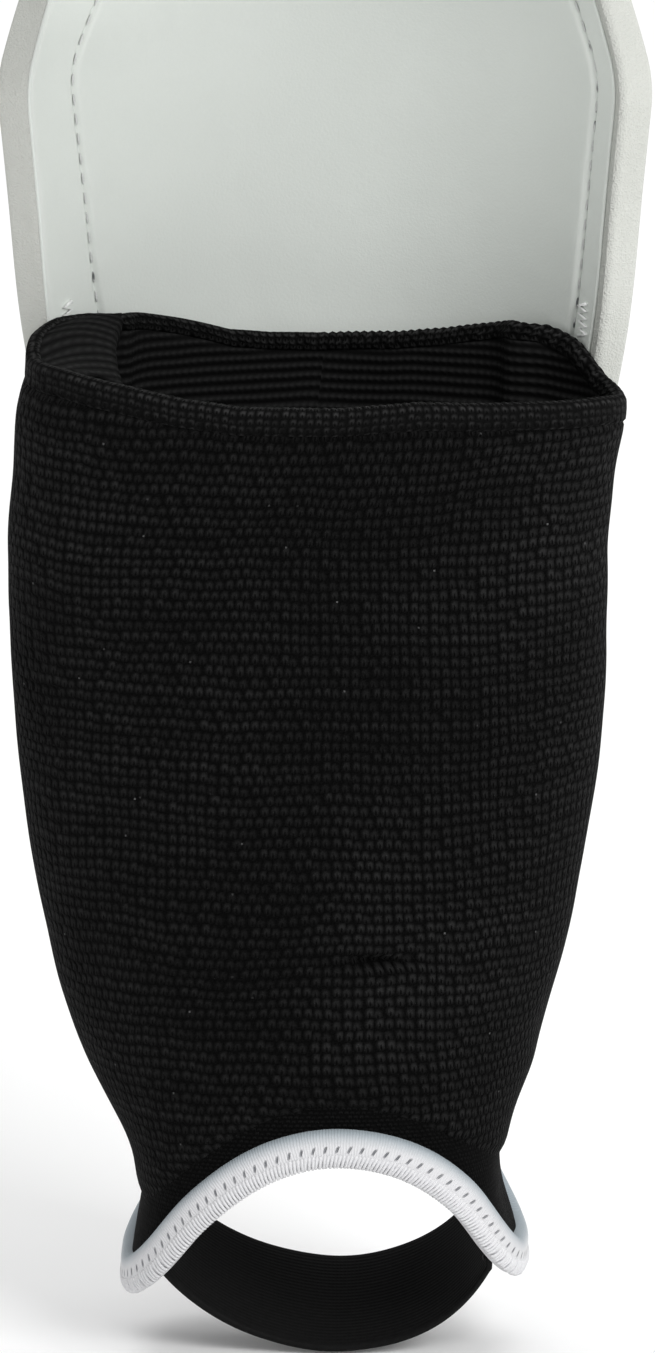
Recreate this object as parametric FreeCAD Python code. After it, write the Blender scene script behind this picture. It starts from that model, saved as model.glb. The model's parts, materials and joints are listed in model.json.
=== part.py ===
import FreeCAD, Part
import math
import os
from FreeCAD import Base, Vector

# A shin guard with a knitted ankle sleeve, in millimetres.
# The leg stands on +Z with its axis near x = y = 0. +Y is the front of the shin, -Y the calf.
# z = 0 is the sole, where the stirrup passes under the foot.
# Angles round the leg are measured from +Y towards +X, in degrees.

# Curved panel: lining, foam and hard shell, all bent round one upright axis
panel_axis_y = -20.0
lining_radius = 62.0
lining_thickness = 0.8
foam_thickness = 6.6
shell_thickness = 2.2
panel_bottom = 108.0
panel_bottom_half_width = 45.0
panel_bottom_round = 25.0
panel_ear_height = 260.0
panel_ear_half_width = 81.0
panel_ear_round = 12.0
panel_neck_height = 276.5
panel_neck_half_width = 69.5
panel_neck_round = 10.0
panel_top = 348.0
panel_top_half_width = 67.0
panel_top_round = 30.0
shell_margin = 12.0
vent_rows = 5
vent_pitch = 24.0
vent_length = 20.0
vent_width = 5.0
vent_offset = 17.0
vent_below_ear = 15.0

# Seam that holds the shell and foam to the lining
seam_inset = 3.0
stitch_pitch = 6.0
stitch_length = 4.0
stitch_width = 0.9
stitch_height = 0.5

# Knitted sleeve: height, half width, depth to the calf side, depth to the shin side,
# and how square each side is (2 is an ellipse)
sleeve_levels = [
    (10.0, 40.0, 31.0, 30.0, 3.0, 3.0),
    (25.0, 39.8, 31.0, 30.0, 3.0, 3.0),
    (39.0, 39.6, 31.0, 30.0, 2.8, 2.8),
    (53.0, 42.2, 30.5, 30.0, 2.4, 2.3),
    (76.0, 49.2, 29.5, 30.5, 2.3, 2.1),
    (101.0, 54.6, 28.0, 32.0, 2.3, 1.9),
    (126.0, 58.0, 27.0, 33.0, 2.3, 1.7),
    (158.0, 59.2, 26.5, 33.0, 2.3, 1.7),
    (191.0, 59.6, 26.0, 33.0, 2.3, 1.7),
    (202.0, 58.0, 26.0, 32.0, 2.3, 1.7),
]
section_points = 24
knit_thickness = 1.5
rim_hem_height = 5.6

# Ankle flex: the knit stretches and folds in the wedges in front of and behind the hinge line
flex_height = 115.0
flex_forward = 15.0
flex_back = 20.0
flex_spare = 4.0
flex_side_gap = 1.0

# Foot opening: an arch over the heel and another over the instep, bound with a rolled edging
arch_centre_height = 16.4
arch_radius = 30.0
arch_turn = 60.0
edging_height = 7.6
edging_overhang = 0.8
cuff_height = 3.4

# Stirrup under the foot
stirrup_axis_height = 24.7
stirrup_half_span = 33.0
stirrup_drop = 20.0
stirrup_width = 27.0
stirrup_thickness = 1.6
stirrup_end_length = 6.0
stirrup_tilt = 27.0
stirrup_tack_thickness = 0.7
stirrup_tack_lift = 1.0
stirrup_tack_height = 4.0
stirrup_tack_inset = 2.0

# Calf strap: an elastic band hinged at the left, hooked over a loop-faced stub at the right
strap_height = 321.0
strap_width = 34.0
strap_thickness = 1.6
strap_hinge_angle = -90.0
strap_hinge_gap = 4.0
strap_centre_shift = 1.9
stub_end_angle = 142.0
tab_hinge_angle = 146.0
tab_hinge_gap = 3.0
tab_length_angle = 42.0
hook_thickness = 0.8
hook_inset = 2.0
anchor_margin = 1.2
anchor_stitch_thickness = 0.6
anchor_stitch_margin = 1.0
anchor_stitch_inset = 3.0

# Small zigzag tacks that hold the sleeve to the wings of the panel
tack_width = 3.0
tack_height = 7.0
tack_proud = 0.7
tack_above_rim = 7.0
tack_inset = 4.0

# Sizes that follow from the ones above
foam_radius = lining_radius + lining_thickness
shell_radius = foam_radius + foam_thickness
bend_radius = (lining_radius + shell_radius) / 2
sleeve_top = sleeve_levels[-1][0]
strap_radius = shell_radius + strap_thickness / 2

# Clearance between the knit and the panel, and spare lengths on the shapes that only cut
clearance = 0.3
spare = 5.0
blank_angle = 88.0
panel_space_depth = 40.0
foot_opening_top = 76.4
reach = 200.0
tolerance = 0.01


def panel_corners(margin):
    """The panel's right-hand corners, bottom to top, as width, height and rounding."""
    return [
        (panel_bottom_half_width - margin, panel_bottom + margin, panel_bottom_round - margin / 2),
        (panel_ear_half_width - margin, panel_ear_height, panel_ear_round),
        (panel_neck_half_width - margin, panel_neck_height, panel_neck_round),
        (panel_top_half_width - margin, panel_top - margin, panel_top_round - margin / 2),
    ]


def rounded_outline(corners):
    """A closed flat outline with every corner rounded."""
    trims = []
    for index, (across, up, radius) in enumerate(corners):
        corner = Vector(across, up, 0)
        before = Vector(*corners[index - 1][:2], 0) - corner
        after = Vector(*corners[(index + 1) % len(corners)][:2], 0) - corner
        before.normalize()
        after.normalize()
        half = before.getAngle(after) / 2
        middle = before + after
        middle.normalize()
        run = radius / math.tan(half)
        peak = corner + middle * (radius / math.sin(half) - radius)
        trims.append((corner + before * run, peak, corner + after * run))
    edges = []
    for index, (start, peak, end) in enumerate(trims):
        edges.append(Part.Arc(start, peak, end).toShape())
        edges.append(Part.makeLine(end, trims[(index + 1) % len(trims)][0]))
    return Part.Wire(edges)


def mirrored(corners):
    """Right-hand corners and their mirror images, in order round the outline."""
    return corners + [(-across, up, radius) for across, up, radius in reversed(corners)]


def bent_edge(edge, radius):
    """A flat edge bent round the panel's axis: across becomes distance round the bend."""
    flat = edge.Curve.toBSpline(edge.FirstParameter, edge.LastParameter)
    poles = [Base.Vector2d(math.pi / 2 - pole.x / bend_radius, pole.y) for pole in flat.getPoles()]
    curve = Part.Geom2d.BSplineCurve2d()
    curve.buildFromPolesMultsKnots(
        poles, flat.getMultiplicities(), flat.getKnots(), False, flat.Degree, flat.getWeights()
    )
    cylinder = Part.Cylinder()
    cylinder.Center = Vector(0, panel_axis_y, 0)
    cylinder.Radius = radius
    return curve.toShape(cylinder)


def arc_band(inner, outer, start, end, low, high, centre_x=0.0):
    """A curved plate between two radii, from one angle to a larger one and from low to high."""
    centre = Vector(centre_x, panel_axis_y, low)
    up = Vector(0, 0, 1)
    sweep = end - start
    band = Part.makeCylinder(outer, high - low, centre, up, sweep)
    band = band.cut(Part.makeCylinder(inner, high - low, centre, up, sweep))
    band.rotate(centre, up, 90 - end)
    return band


def bent_plate(corners, inner, thickness):
    """A plate of even thickness, bent round the panel's axis and trimmed square to its face."""
    outline = rounded_outline(mirrored(corners))
    depth = shell_radius - lining_radius
    walls = Part.makeShell([
        Part.makeRuledSurface(bent_edge(edge, inner - depth), bent_edge(edge, inner + depth * 2))
        for edge in outline.Edges
    ])
    blank = arc_band(inner, inner + thickness, -blank_angle, blank_angle,
                     panel_bottom - spare, panel_top + spare)
    pieces = blank.generalFuse([walls])[0].Solids
    middle = Vector(0, panel_axis_y + inner + thickness / 2, (panel_bottom + panel_top) / 2)
    return next(piece for piece in pieces if piece.isInside(middle, tolerance, True))


def edge_width(up, margin):
    """Half the panel's width round the bend at a height, with corners taken as sharp."""
    corners = panel_corners(margin)
    for (low_across, low, _), (high_across, high, _) in zip(corners, corners[1:]):
        if low <= up <= high:
            return low_across + (high_across - low_across) * (up - low) / (high - low)
    return corners[0][0]


def bent_block(across, up, inner, outer, width, height):
    """A small block on the bent panel, curved with it."""
    start = math.degrees((across - width / 2) / bend_radius)
    end = math.degrees((across + width / 2) / bend_radius)
    return arc_band(inner, outer, start, end, up - height / 2, up + height / 2)


def shin_shell():
    shell = bent_plate(panel_corners(shell_margin), shell_radius, shell_thickness)
    slots = []
    for side in (-1, 1):
        for row in range(vent_rows):
            up = panel_ear_height - vent_below_ear - row * vent_pitch
            slots.append(bent_block(side * vent_offset, up, shell_radius - spare,
                                    shell_radius + shell_thickness + spare, vent_width, vent_length))
    return shell.cut(Part.makeCompound(slots))


def shell_seam(side):
    """A row of stitches on the lining, just inside the edge of the shell."""
    stitches = []
    low = panel_bottom + shell_margin + panel_bottom_round / 2
    high = panel_top - shell_margin - panel_top_round / 2
    for index in range(int((high - low) / stitch_pitch) + 1):
        up = low + index * stitch_pitch
        across = edge_width(up, shell_margin + seam_inset)
        stitches.append(bent_block(side * across, up, lining_radius - stitch_height, lining_radius,
                                   stitch_width, stitch_length))
    return Part.makeCompound(stitches)


def sleeve_section(level, inset):
    """One closed level of the sleeve, taken in from its outer face by an even amount."""
    up, half_width, near, far, near_power, far_power = level
    points = []
    for index in range(section_points):
        turn = 2 * math.pi * index / section_points
        power = far_power if math.sin(turn) > 0 else near_power
        depth = far if math.sin(turn) > 0 else near
        across = math.copysign(abs(math.cos(turn)) ** (2 / power), math.cos(turn))
        along = math.copysign(abs(math.sin(turn)) ** (2 / power), math.sin(turn))
        points.append(Vector((half_width - inset) * across, (depth - inset) * along, up))
    curve = Part.BSplineCurve()
    curve.interpolate(Points=points, PeriodicFlag=True)
    return Part.Wire(curve.toShape())


def sleeve_solid(inset):
    return Part.makeLoft([sleeve_section(level, inset) for level in sleeve_levels], True, False)


def arch_block(radius):
    """Everything under an arch that runs through the sleeve from heel to instep."""
    lean = math.radians(arch_turn)
    across = radius * math.sin(lean)
    up = arch_centre_height + radius * math.cos(lean)
    foot_across = across + up / math.tan(lean)
    profile = Part.Wire([
        Part.Arc(Vector(-across, 0, up), Vector(0, 0, arch_centre_height + radius),
                 Vector(across, 0, up)).toShape(),
        Part.makeLine(Vector(across, 0, up), Vector(foot_across, 0, 0)),
        Part.makeLine(Vector(foot_across, 0, 0), Vector(-foot_across, 0, 0)),
        Part.makeLine(Vector(-foot_across, 0, 0), Vector(-across, 0, up)),
    ])
    block = Part.Face(profile).extrude(Vector(0, reach, 0))
    block.translate(Vector(0, -reach / 2, 0))
    return block


def flex_wedges():
    """The space that the sleeve folds into, in front of and behind the flex line."""
    front = reach * math.tan(math.radians(flex_forward + flex_spare) / 2)
    back = reach * math.tan(math.radians(flex_back + flex_spare) / 2)
    half = flex_side_gap / 2
    points = [
        Vector(-reach, -reach, flex_height + half + back),
        Vector(-reach, 0, flex_height + half),
        Vector(-reach, reach, flex_height + half + front),
        Vector(-reach, reach, flex_height - half - front),
        Vector(-reach, 0, flex_height - half),
        Vector(-reach, -reach, flex_height - half - back),
    ]
    outline = Part.makePolygon(points + points[:1])
    return Part.Face(outline).extrude(Vector(2 * reach, 0, 0))


def slab(low, high):
    return Part.makeBox(reach, reach, high - low, Vector(-reach / 2, -reach / 2, low))


def split_at_flex(wall):
    """The upper and lower parts of a sleeve wall, with the flex wedges left out."""
    parts = sorted(wall.cut(flex_wedges()).Solids, key=lambda solid: solid.CenterOfMass.z)
    return parts[-1], parts[0]


def stirrup_blank():
    """The stirrup band before it tilts: an arc under the foot with an upright end at each side."""
    side = stirrup_axis_height
    top = side + stirrup_end_length
    in_half = stirrup_half_span - stirrup_thickness / 2
    out_half = stirrup_half_span + stirrup_thickness / 2
    in_low = side - stirrup_drop + stirrup_thickness / 2
    out_low = side - stirrup_drop - stirrup_thickness / 2
    edges = [
        Part.Arc(Vector(-out_half, 0, side), Vector(0, 0, out_low), Vector(out_half, 0, side)).toShape(),
        Part.makeLine(Vector(out_half, 0, side), Vector(out_half, 0, top)),
        Part.makeLine(Vector(out_half, 0, top), Vector(in_half, 0, top)),
        Part.makeLine(Vector(in_half, 0, top), Vector(in_half, 0, side)),
        Part.Arc(Vector(in_half, 0, side), Vector(0, 0, in_low), Vector(-in_half, 0, side)).toShape(),
        Part.makeLine(Vector(-in_half, 0, side), Vector(-in_half, 0, top)),
        Part.makeLine(Vector(-in_half, 0, top), Vector(-out_half, 0, top)),
        Part.makeLine(Vector(-out_half, 0, top), Vector(-out_half, 0, side)),
    ]
    band = Part.Face(Part.Wire(edges)).extrude(Vector(0, stirrup_width, 0))
    band.translate(Vector(0, -stirrup_width / 2, 0))
    return band


def tilted(shape):
    """A piece of the stirrup turned about the line through its sewn ends."""
    shape.rotate(Vector(0, 0, stirrup_axis_height), Vector(1, 0, 0), stirrup_tilt)
    return shape


def stirrup_tack(side):
    """A block of stitching on the inner face of one end of the stirrup."""
    inner = stirrup_half_span - stirrup_thickness / 2
    low = stirrup_axis_height + stirrup_tack_lift
    length = stirrup_width - 2 * stirrup_tack_inset
    block = Part.makeBox(stirrup_tack_thickness, length, stirrup_tack_height,
                         Vector(inner - stirrup_tack_thickness, -length / 2, low))
    if side < 0:
        block = block.mirror(Vector(0, 0, 0), Vector(1, 0, 0))
    return tilted(block)


def strap_band(start, end, shift, inner, thickness, inset=0.0):
    """A band of strap from one angle round to a larger one, at the strap's height."""
    low = strap_height - strap_width / 2 + inset
    high = strap_height + strap_width / 2 - inset
    return arc_band(inner, inner + thickness, start, end, low, high, shift)


def degrees_along(length):
    return math.degrees(length / strap_radius)


def strap_pieces():
    """The fixed ends, the strap, its tab and its hook patch."""
    half_gap = degrees_along(strap_hinge_gap) / 2
    tab_gap = degrees_along(tab_hinge_gap) / 2
    margin_angle = math.degrees(edge_width(strap_height, shell_margin - anchor_margin) / bend_radius)
    root = strap_band(strap_hinge_angle + half_gap, -margin_angle, 0, shell_radius, strap_thickness)
    stub = strap_band(margin_angle, stub_end_angle, 0, shell_radius, strap_thickness)
    inner = shell_radius + strap_centre_shift
    start = tab_hinge_angle + tab_gap
    strap = strap_band(start, 360 + strap_hinge_angle - half_gap, strap_centre_shift, inner, strap_thickness)
    tab_end = tab_hinge_angle - tab_gap
    tab = strap_band(tab_hinge_angle - tab_length_angle, tab_end, strap_centre_shift, inner, strap_thickness)
    inset_angle = degrees_along(hook_inset)
    hook = strap_band(tab_hinge_angle - tab_length_angle + inset_angle, stub_end_angle - inset_angle,
                      strap_centre_shift, inner - hook_thickness, hook_thickness, hook_inset)
    return {"strap_root": root, "strap_stub": stub, "calf_strap": strap, "strap_tab": tab,
            "hook_patch": hook}


def anchor_stitching(side):
    """The block of stitching that sews one end of the strap to the panel's margin."""
    from_shell = shell_margin - anchor_margin - anchor_stitch_margin
    start = math.degrees(edge_width(strap_height, from_shell) / bend_radius)
    end = math.degrees(edge_width(strap_height, anchor_stitch_margin) / bend_radius)
    inner = shell_radius + strap_thickness
    block = strap_band(start, end, 0, inner, anchor_stitch_thickness, anchor_stitch_inset)
    return block if side > 0 else block.mirror(Vector(0, 0, 0), Vector(1, 0, 0))


def sleeve_tack(side):
    """A small zigzag tack on the lining beside the sleeve's rim."""
    up = sleeve_top + tack_above_rim
    across = edge_width(up, tack_inset)
    return bent_block(side * across, up, lining_radius - tack_proud, lining_radius, tack_width, tack_height)


def sleeve_pieces():
    face = sleeve_solid(0)
    between = sleeve_solid(knit_thickness)
    inside = sleeve_solid(2 * knit_thickness)
    knit_arch = arch_block(arch_radius + edging_height + cuff_height)
    cuff_arch = arch_block(arch_radius + edging_height)
    hem_space = slab(sleeve_top - rim_hem_height, sleeve_top + spare)
    wing = math.degrees(edge_width(sleeve_top, 0) / bend_radius)
    panel_space = arc_band(lining_radius - clearance, lining_radius + panel_space_depth, -wing, wing,
                           panel_bottom, panel_top)
    above_opening = slab(foot_opening_top, reach)
    outer = face.cut(between).cut(hem_space).cut(panel_space)
    inner = between.cut(inside).cut(hem_space)
    outer_upper, outer_lower = split_at_flex(outer)
    inner_upper, inner_lower = split_at_flex(inner)
    cuff = inner.cut(above_opening).common(knit_arch).cut(cuff_arch)
    wide = sleeve_solid(-edging_overhang)
    narrow = sleeve_solid(2 * knit_thickness + edging_overhang)
    edging = wide.cut(narrow).cut(above_opening).common(cuff_arch).cut(arch_block(arch_radius))
    return {
        "sleeve_rim_hem": face.cut(inside).common(hem_space).cut(panel_space),
        "sleeve_outer_upper": outer_upper,
        "sleeve_inner_upper": inner_upper,
        "sleeve_outer_lower": outer_lower.cut(knit_arch),
        "sleeve_inner_lower": inner_lower.cut(knit_arch),
        "heel_cuff": cuff,
        "cuff_edging": edging,
    }


def make_parts():
    parts = {
        "leg_lining": bent_plate(panel_corners(0), lining_radius, lining_thickness),
        "foam_backing": bent_plate(panel_corners(0), foam_radius, foam_thickness),
        "shin_shell": shin_shell(),
        "stirrup_strap": tilted(stirrup_blank()),
    }
    for side, name in ((-1, "left"), (1, "right")):
        parts["shell_seam_" + name] = shell_seam(side)
        parts["sleeve_tack_" + name] = sleeve_tack(side)
        parts["stirrup_tack_" + name] = stirrup_tack(side)
        parts["strap_stitching_" + name] = anchor_stitching(side)
    parts.update(sleeve_pieces())
    parts.update(strap_pieces())
    return parts


os.makedirs("parts", exist_ok=True)
for node, shape in make_parts().items():
    shape.exportStep("parts/" + node + ".step")
    print(node, len(shape.Solids), round(shape.Volume))
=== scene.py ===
import json
import math

import bmesh
import bpy
import numpy as np
from mathutils import Matrix, Vector, noise
from mathutils.bvhtree import BVHTree


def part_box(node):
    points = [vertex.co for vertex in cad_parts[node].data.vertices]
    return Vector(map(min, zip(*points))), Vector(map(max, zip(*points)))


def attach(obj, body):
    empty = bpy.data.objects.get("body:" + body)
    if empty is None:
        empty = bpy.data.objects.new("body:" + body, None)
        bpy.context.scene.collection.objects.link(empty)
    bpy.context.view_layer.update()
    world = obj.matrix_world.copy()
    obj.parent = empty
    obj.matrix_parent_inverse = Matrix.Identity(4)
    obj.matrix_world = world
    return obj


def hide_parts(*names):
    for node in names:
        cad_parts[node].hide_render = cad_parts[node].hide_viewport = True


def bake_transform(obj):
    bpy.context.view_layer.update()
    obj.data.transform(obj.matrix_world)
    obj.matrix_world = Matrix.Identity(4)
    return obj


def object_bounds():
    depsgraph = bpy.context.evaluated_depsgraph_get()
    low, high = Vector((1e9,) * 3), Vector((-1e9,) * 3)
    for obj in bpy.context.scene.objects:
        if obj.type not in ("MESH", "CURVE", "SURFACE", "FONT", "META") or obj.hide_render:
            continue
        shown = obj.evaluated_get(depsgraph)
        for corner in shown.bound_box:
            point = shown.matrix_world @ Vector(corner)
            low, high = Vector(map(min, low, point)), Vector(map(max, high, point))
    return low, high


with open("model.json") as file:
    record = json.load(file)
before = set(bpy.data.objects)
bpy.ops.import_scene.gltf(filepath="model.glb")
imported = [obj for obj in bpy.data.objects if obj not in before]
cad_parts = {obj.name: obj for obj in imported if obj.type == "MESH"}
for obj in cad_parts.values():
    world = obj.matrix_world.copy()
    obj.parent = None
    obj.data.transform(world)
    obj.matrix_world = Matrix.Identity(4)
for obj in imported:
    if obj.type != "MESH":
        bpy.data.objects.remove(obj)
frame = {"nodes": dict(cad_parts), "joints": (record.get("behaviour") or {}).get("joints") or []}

# A shin guard with a knitted ankle sleeve, in metres, standing on the leg's axis.
# +Y is the front of the shin, -Y the calf side, +Z up. Angles round the leg are from +Y towards +X.
cad_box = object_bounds()

# Curved panel
panel_axis_y = -0.020
lining_radius = 0.0620
lining_thickness = 0.0008
foam_thickness = 0.0066
shell_thickness = 0.0022
foam_radius = lining_radius + lining_thickness
shell_radius = foam_radius + foam_thickness
bend_radius = (lining_radius + shell_radius) / 2
seam_inset = 0.0030
seam_pitch = 0.0042
seam_shift = 0.0038
seam_spread = 0.0045
lining_margin = 0.0027
fold_place = -0.0158
fold_depth = 0.0009
fold_round = 0.0018
fold_reach = 0.018
foam_set_back = 0.0014
broken_corner = 0.0009
sides = ((-1, "left"), (1, "right"))

# Knitted sleeve
knit_thickness = 0.0012
sleeve_thickness = 0.0030
rim_hem_height = 0.0056
inner_hem_height = 0.0036
wale_pitch = 0.0020
course_pitch = 0.0022
rib_pitch = 0.0021
sleeve_lean = -0.0034
sleeve_turns = 336
sleeve_middle = 0.130
crease_height = 0.0880
crease_place = 0.0132
crease_reach = 0.0070
tack_turns = 9
tack_reach = 0.0013

# Foot opening
arch_radius = 0.0300
arch_turn = math.radians(60)
edging_height = 0.0076
edging_thickness = 0.0046
edging_corner = 0.0022
edging_girth = 2 * (math.pi * edging_corner + edging_thickness + edging_height - 4 * edging_corner)
edging_middle = edging_girth * 0.997 - (edging_height / 2 - edging_corner)
edging_pitch = 0.0024
opening_skew = 0.0022
cuff_height = 0.0034

# Stirrup under the foot
stirrup_half_span = 0.033
stirrup_drop = 0.020
stirrup_width = 0.027
stirrup_tilt = math.radians(27)
stirrup_end = 0.006

# Calf strap, with angles in degrees
webbing_thickness = 0.0015
webbing_corner = 0.0006
strap_thickness = 0.0016
strap_shift = 0.0019
strap_hinge_angle = -90
strap_end_angle = -214
stub_end_angle = 142
tab_root_angle = 147.2
tab_end_angle = 104

# Studio
floor_reach = 15.0
sky_strength = 0.60
camera_elevation = math.radians(15.5)
camera_distance = 3.2
view_height = 0.2706
camera_aim = Vector((0.0005, 0, 0.1390))


# ---------------------------------------------------------------- measuring the frame

def surface_of(*nodes):
    """One search tree over the rest shapes of some CAD nodes."""
    corners = []
    faces = []
    for node in nodes:
        mesh = frame["nodes"][node].data
        start = len(corners)
        corners.extend(vertex.co.copy() for vertex in mesh.vertices)
        faces.extend([start + index for index in face.vertices] for face in mesh.polygons)
    return BVHTree.FromPolygons(corners, faces)


def joint_place(name):
    """Where a joint of the frame is."""
    return Vector(next(joint for joint in frame["joints"] if joint["name"] == name)["pos_m"])


def bend_point(angle, radius, up):
    """A point at an angle round the panel's axis, in radians."""
    return Vector((radius * math.sin(angle), panel_axis_y + radius * math.cos(angle), up))


def edge_angle(surface, up, radius):
    """How far round the bend a plate reaches at a height, found by halving the gap."""
    low, high = 0.0, math.radians(88)
    axis = Vector((0, panel_axis_y, up))
    for _ in range(22):
        middle = (low + high) / 2
        direction = bend_point(middle, 1, up) - axis
        if surface.ray_cast(axis, direction.normalized(), radius + 0.02)[0]:
            low = middle
        else:
            high = middle
    return low


def smooth_step(low, high, value):
    """0 below low, 1 above high, and an S-curve between them."""
    share = np.clip((value - low) / (high - low), 0, 1)
    return share * share * (3 - 2 * share)


def hump(centre, width, value):
    """A bell of height 1 at centre."""
    return np.exp(-((value - centre) / width) ** 2)


def rippled(point, scale, seed):
    """Smooth noise from -1 to 1 at a point."""
    return noise.noise(Vector(point) / scale + Vector((seed, seed * 0.7, 0)))


# ---------------------------------------------------------------- meshes

def in_scene(name, data):
    """An object that shows some data, linked to the scene."""
    shown = bpy.data.objects.new(name, data)
    bpy.context.scene.collection.objects.link(shown)
    return shown


def plain_mesh(piece):
    """A new mesh with the piece's modifiers, bevel or geometry tree worked out."""
    bpy.context.view_layer.update()
    return bpy.data.meshes.new_from_object(piece.evaluated_get(bpy.context.evaluated_depsgraph_get()))


def turned_to_piece(name, carrier):
    """A smooth piece with a carrier's plain mesh. The carrier goes."""
    mesh = plain_mesh(carrier)
    mesh.shade_smooth()
    bpy.data.objects.remove(carrier)
    return in_scene(name, mesh)


def mesh_piece(name, corners, faces, material, flat=None):
    """An object from corners and faces, with a cloth map in millimetres for the patterns."""
    mesh = bpy.data.meshes.new(name)
    mesh.from_pydata([tuple(corner) for corner in corners], [], faces)
    if flat is not None:
        layer = mesh.uv_layers.new(name="cloth")
        layer.data.foreach_set("uv", np.array(flat, dtype=np.float32).ravel())
    mesh.validate()
    mesh.update()
    mesh.shade_smooth()
    mesh.materials.append(material)
    return in_scene(name, mesh)


def grid_faces(rows, columns, on_cloth, ring=False, round_again=False):
    """The faces of a grid, and the cloth map at their corners, in millimetres, from on_cloth(row, column)."""
    faces = []
    flat = []
    for row in range(rows if round_again else rows - 1):
        next_row = (row + 1) % rows
        for column in range(columns if ring else columns - 1):
            after = (column + 1) % columns
            faces.append([row * columns + column, next_row * columns + column,
                          next_row * columns + after, row * columns + after])
            for corner in ((row, column), (row + 1, column), (row + 1, column + 1), (row, column + 1)):
                flat.append([length * 1000 for length in on_cloth(*corner)])
    return faces, flat


def grid_piece(name, points, material, across, along, closed=False):
    """A sheet from a grid of points. across and along are its cloth map in metres."""
    faces, flat = grid_faces(*points.shape[:2], lambda row, column: (across[row][column], along[row][column]),
                             closed)
    return mesh_piece(name, points.reshape(-1, 3), faces, material, flat)


def thickened(piece, thickness, offset=-1.0):
    """Gives a sheet its thickness, to the inside of its face by default."""
    wall = piece.modifiers.new("wall", "SOLIDIFY")
    wall.thickness = thickness
    wall.offset = offset
    wall.use_even_offset = False
    mesh = plain_mesh(piece)
    piece.modifiers.clear()
    piece.data = mesh


def area_of(piece):
    return sum(face.area for face in piece.data.polygons)


def turned_outwards(piece):
    """The piece with its doubles merged and its faces pointing out."""
    mesh = bmesh.new()
    mesh.from_mesh(piece.data)
    bmesh.ops.remove_doubles(mesh, verts=mesh.verts, dist=1e-7)
    bmesh.ops.recalc_face_normals(mesh, faces=mesh.faces)
    mesh.to_mesh(piece.data)
    mesh.free()
    return piece


def swept_band(name, centres, outs, ups, section, material, closed):
    """A closed section carried along a path. Each section point is (outwards, upwards)."""
    rows, columns = len(centres), len(section)
    corners = [centre + out * x + up * y for centre, out, up in zip(centres, outs, ups) for x, y in section]
    steps = [(centres[(row + 1) % rows] - centres[row]).length for row in range(rows)]
    lengths = np.cumsum([0.0] + steps)
    girths = np.cumsum([0.0] + [math.dist(*pair) for pair in zip(section, section[1:] + section[:1])])
    faces, flat = grid_faces(rows, columns, lambda row, column: (lengths[row], girths[column]), True, closed)
    if not closed:
        for row, order in ((0, 1), (rows - 1, -1)):
            faces.append([row * columns + column for column in range(columns)][::order])
            flat += [[lengths[row] * 1000, 0.0]] * columns
    return turned_outwards(mesh_piece(name, corners, faces, material, flat))


def rounded_section(thickness, height, corner, steps=4):
    """A rectangle with round corners, as (outwards, upwards) points."""
    points = []
    for side_x, side_y, start in ((1, 1, 0), (-1, 1, 90), (-1, -1, 180), (1, -1, 270)):
        for step in range(steps + 1):
            turn = math.radians(start + 90 * step / steps)
            points.append((side_x * (thickness / 2 - corner) + corner * math.cos(turn),
                           side_y * (height / 2 - corner) + corner * math.sin(turn)))
    return points


def divided(section, count):
    """A section with its long sides divided, so that the band can bend across its width."""
    fine = []
    for first, second in zip(section, section[1:] + section[:1]):
        parts = count if math.dist(first, second) > 0.005 else 1
        for part in range(parts):
            share = part / parts
            fine.append(tuple(here + (after - here) * share for here, after in zip(first, second)))
    return fine


# ---------------------------------------------------------------- repeated pieces

def new_tree(name, inputs):
    """A geometry tree with one geometry in, one geometry out and named inputs for its sizes."""
    tree = bpy.data.node_groups.new(name, "GeometryNodeTree")
    tree.interface.new_socket("Geometry", in_out="INPUT", socket_type="NodeSocketGeometry")
    for label, kind in inputs:
        tree.interface.new_socket(label, in_out="INPUT", socket_type=kind)
    tree.interface.new_socket("Geometry", in_out="OUTPUT", socket_type="NodeSocketGeometry")
    return tree, tree.nodes.new("NodeGroupInput"), tree.nodes.new("NodeGroupOutput")


def tree_node(tree, kind, links=(), **settings):
    """A node with its settings, and its sockets linked or set by name or number."""
    node = tree.nodes.new(kind)
    for setting, value in settings.items():
        setattr(node, setting, value)
    for socket, value in links:
        if isinstance(value, bpy.types.NodeSocket):
            tree.links.new(value, node.inputs[socket])
        else:
            node.inputs[socket].default_value = value
    return node


def lay_copies(tree, given, result, points, copied, turn, scale):
    """Ends a tree: copies on points, made real, in their thread."""
    laid = tree_node(tree, "GeometryNodeInstanceOnPoints", [
        ("Points", points), ("Instance", copied), ("Rotation", turn.outputs[0]), ("Scale", scale)])
    real = tree_node(tree, "GeometryNodeRealizeInstances", [("Geometry", laid.outputs[0])])
    dressed = tree_node(tree, "GeometryNodeSetMaterial", [
        ("Geometry", real.outputs[0]), ("Material", given.outputs["Thread"])])
    tree.links.new(dressed.outputs[0], result.inputs[0])
    return tree


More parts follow.
